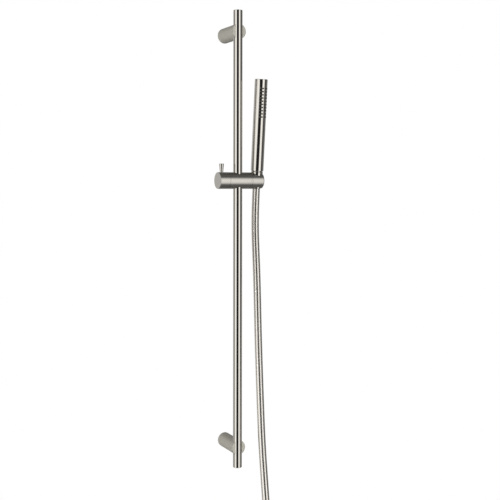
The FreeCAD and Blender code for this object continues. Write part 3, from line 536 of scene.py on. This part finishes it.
def crimped_ferrule():
    """The steel sleeve pressed on the hose's lower end: three crimp grooves and the inner flange."""
    low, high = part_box("supply_ferrule")
    length = high.z - low.z
    flange = (high.x - low.x) / 2
    body = FERRULE_RADIUS
    sunk = body - CRIMP_DEPTH
    profile = [(FERRULE_BORE, -FERRULE_LIP), (HOSE_RADIUS + FERRULE_GAP, -FERRULE_LIP)]
    profile += [(body - FERRULE_LIP, 0), (body, 2 * FERRULE_LIP)]
    for crimp in CRIMPS:
        profile += [(body, crimp - CRIMP_MOUTH), (sunk, crimp - CRIMP_FLOOR)]
        profile += [(sunk, crimp + CRIMP_FLOOR), (body, crimp + CRIMP_MOUTH)]
    profile += [(body, length - FLANGE_THICK - FERRULE_GAP), (flange, length - FLANGE_THICK)]
    profile += [(flange, length), (FERRULE_BORE, length)]
    made = turned_piece("crimped_ferrule", profile, HOSE_END, Vector((0, 0, -1)))
    made.data.materials.append(slot_paints["stainless_screw"])
    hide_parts("supply_ferrule")
    return made


ferrule = crimped_ferrule()


def strap_outline(half_x, half_y, corner, steps=6):
    """Points round a rectangle with rounded corners, centred on its own origin."""
    points = []
    for quarter, (sx, sy) in enumerate(((1, 1), (-1, 1), (-1, -1), (1, -1))):
        for step in range(steps + 1):
            turn = math.pi / 2 * (quarter + step / steps)
            x = sx * (half_x - corner) + corner * math.cos(turn)
            y = sy * (half_y - corner) + corner * math.sin(turn)
            points.append((x, y))
    return points


STRAP_THICK = 0.0011
STRAP_CORNER = 0.0072
STRAP_INSET = (0.0004, 0.0012)  # from the CAD tie's box, across and forward
# Rows up the strap: (share of its half height, how far its outside is drawn in).
STRAP_ROWS = [(-1, 0.00025), (-0.93, 0), (-0.5, 0), (0, 0), (0.5, 0), (0.93, 0), (1, 0.00025)]


def hose_strap():
    """The hook-and-loop strap round the hank's lanes, with softened edges."""
    low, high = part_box("hose_tie")
    middle = (low + high) / 2
    half = (high - low) / 2
    wide = half.x - STRAP_INSET[0]
    deep = half.y - STRAP_INSET[1]
    outer = strap_outline(wide, deep, STRAP_CORNER)
    inner = strap_outline(wide - STRAP_THICK, deep - STRAP_THICK, STRAP_CORNER - STRAP_THICK)
    rows = []
    for share, drawn in STRAP_ROWS:
        narrower = 1 - drawn / half.x
        shallower = 1 - drawn / half.y
        rows.append([(x * narrower, y * shallower, share * half.z) for x, y in outer])
    for share, _ in reversed(STRAP_ROWS):
        rows.append([(x, y, share * half.z) for x, y in inner])
    mesh = bmesh.new()
    rings = [[mesh.verts.new(middle + Vector(corner)) for corner in row] for row in rows]
    skin(mesh, rings + rings[:1])
    made = new_object("hose_strap", mesh)
    made.data.set_sharp_from_angle(angle=math.radians(50))
    made.data.materials.append(slot_paints["tie_strap"])
    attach(made, "hose")
    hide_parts("hose_tie")
    return made


strap = hose_strap()
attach(ferrule, "hose")

# Between these drops below its exit the hose passes from the holder's tilt to hanging plumb.
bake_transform(hose)
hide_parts("hose_tube", "hose_hank")

# ---------------------------------------------------------------- studio

FLOOR_DROP = 0.55  # floor below the hank, clear of it with the slider at its lowest
FLOOR_RADIUS = 2.2
# What the metal sees at eye level: (degrees from the camera, positive to its right, brightness).
HORIZON = [
    (-180, 0.30),
    (-150, 0.55),
    (-128, 0.76),
    (-112, 0.40),
    (-104, 0.26),
    (-92, 0.18),
    (-82, 0.25),
    (-75, 0.95),
    (-50, 1.40),
    (-31, 1.35),
    (-24, 0.03),
    (0, 0.008),
    (25, 0.03),
    (32, 1.40),
    (45, 1.50),
    (64, 1.05),
    (71, 0.11),
    (82, 0.06),
    (100, 0.12),
    (118, 0.22),
    (140, 0.24),
    (180, 0.30),
]
HORIZON_GAIN = 1.5
OVERHEAD = 0.14
# How much of the eye-level light is left at a height: (degrees above the horizon, share).
HEIGHTS = [
    (-90, 0.0),
    (-56, 0.0),
    (-40, 0.50),
    (-26, 0.84),
    (-14, 0.95),
    (12, 0.95),
    (26, 0.58),
    (40, 0.0),
    (90, 0.0),
]


def ramp(nodes, stops, low, high):
    """A colour ramp of grey stops given between two limits."""
    node = nodes.new("ShaderNodeValToRGB")
    elements = node.color_ramp.elements
    while len(elements) > 1:
        elements.remove(elements[-1])
    for index, (place, value) in enumerate(stops):
        share = (place - low) / (high - low)
        element = elements[0] if index == 0 else elements.new(share)
        element.position = share
        element.color = (value, value, value, 1)
    return node


def make_world():
    """White to the camera; to the metal, tall soft boxes each side of a dark camera."""
    world = bpy.data.worlds.new("studio")
    scene.world = world
    world.use_nodes = True
    nodes, links = world.node_tree.nodes, world.node_tree.links
    nodes.clear()

    def maths(operation, first, second=0.0, third=0.0):
        node = nodes.new("ShaderNodeMath")
        node.operation = operation
        for socket, value in zip(node.inputs, (first, second, third)):
            if isinstance(value, bpy.types.NodeSocket):
                links.new(value, socket)
            else:
                socket.default_value = value
        return node.outputs[0]

    direction = nodes.new("ShaderNodeTexCoord").outputs["Generated"]
    turned = nodes.new("ShaderNodeVectorRotate")
    turned.rotation_type = "Z_AXIS"
    turned.inputs["Angle"].default_value = CAMERA_HEADING
    links.new(direction, turned.inputs["Vector"])
    parts = nodes.new("ShaderNodeSeparateXYZ")
    links.new(turned.outputs[0], parts.inputs[0])
    right, away, up = parts.outputs
    bearing = maths("ARCTAN2", right, maths("MULTIPLY", away, -1.0))
    horizon = ramp(nodes, [(place, value / HORIZON_GAIN) for place, value in HORIZON], -180, 180)
    links.new(maths("MULTIPLY_ADD", bearing, 0.5 / math.pi, 0.5), horizon.inputs[0])
    rise = maths("ARCSINE", up)
    share = ramp(nodes, HEIGHTS, -90, 90)
    links.new(maths("MULTIPLY_ADD", rise, 1 / math.pi, 0.5), share.inputs[0])
    eye_level = maths("MULTIPLY", horizon.outputs[0], HORIZON_GAIN)
    lit = maths("MULTIPLY", eye_level, share.outputs[0])
    above = maths("MULTIPLY", maths("SUBTRACT", 1.0, share.outputs[0]), OVERHEAD)
    studio = nodes.new("ShaderNodeBackground")
    studio.inputs["Color"].default_value = (1, 1, 1, 1)
    links.new(maths("ADD", lit, above), studio.inputs["Strength"])
    white = nodes.new("ShaderNodeBackground")
    white.inputs["Color"].default_value = (1, 1, 1, 1)
    ray = nodes.new("ShaderNodeLightPath")
    mixed = nodes.new("ShaderNodeMixShader")
    links.new(ray.outputs["Is Camera Ray"], mixed.inputs[0])
    links.new(studio.outputs[0], mixed.inputs[1])
    links.new(white.outputs[0], mixed.inputs[2])
    output = nodes.new("ShaderNodeOutputWorld")
    links.new(mixed.outputs[0], output.inputs["Surface"])


def floor_paint():
    """A matt pale floor that fades into the white round it."""
    paint = Paint("pale_floor", (0.86, 0.86, 0.85), 0.7)
    place = paint.place()
    mottle = paint.noise(place, 18.0, 4.0)
    paint.set("Base Color", paint.blend(mottle, (0.84, 0.84, 0.835, 1), (0.88, 0.88, 0.875, 1)))
    distance = paint.add("VectorMath", {0: place}, operation="LENGTH").node.outputs["Value"]
    faded = paint.spread(distance, FLOOR_RADIUS * 0.25, FLOOR_RADIUS * 0.95, 1.0, 0.0)
    paint.set("Alpha", faded)
    return paint.material


def make_floor():
    mesh = bmesh.new()
    bmesh.ops.create_circle(mesh, cap_ends=True, segments=96, radius=FLOOR_RADIUS)
    floor = new_object("floor", mesh)
    floor.location = (0, RAIL_Y, cad_box[0].z - FLOOR_DROP)
    floor.data.materials.append(floor_paint())
    floor.visible_glossy = False


def make_light(name, place, size, power):
    """A square soft light aimed at the middle of the set, not mirrored in the metal."""
    data = bpy.data.lights.new(name, "AREA")
    data.shape = "SQUARE"
    data.size = size
    data.energy = power
    light = bpy.data.objects.new(name, data)
    scene.collection.objects.link(light)
    light.location = place
    aim = (cad_box[0] + cad_box[1]) / 2 - light.location
    light.rotation_euler = aim.to_track_quat("-Z", "Y").to_euler()
    light.visible_glossy = False


make_world()
make_floor()
make_light("overhead", Vector((0, -0.2, 2.4)), 3.0, 190)
make_light("left", Vector((-3.0, -0.6, 0.0)), 1.6, 230)
scene.view_settings.view_transform = "Standard"
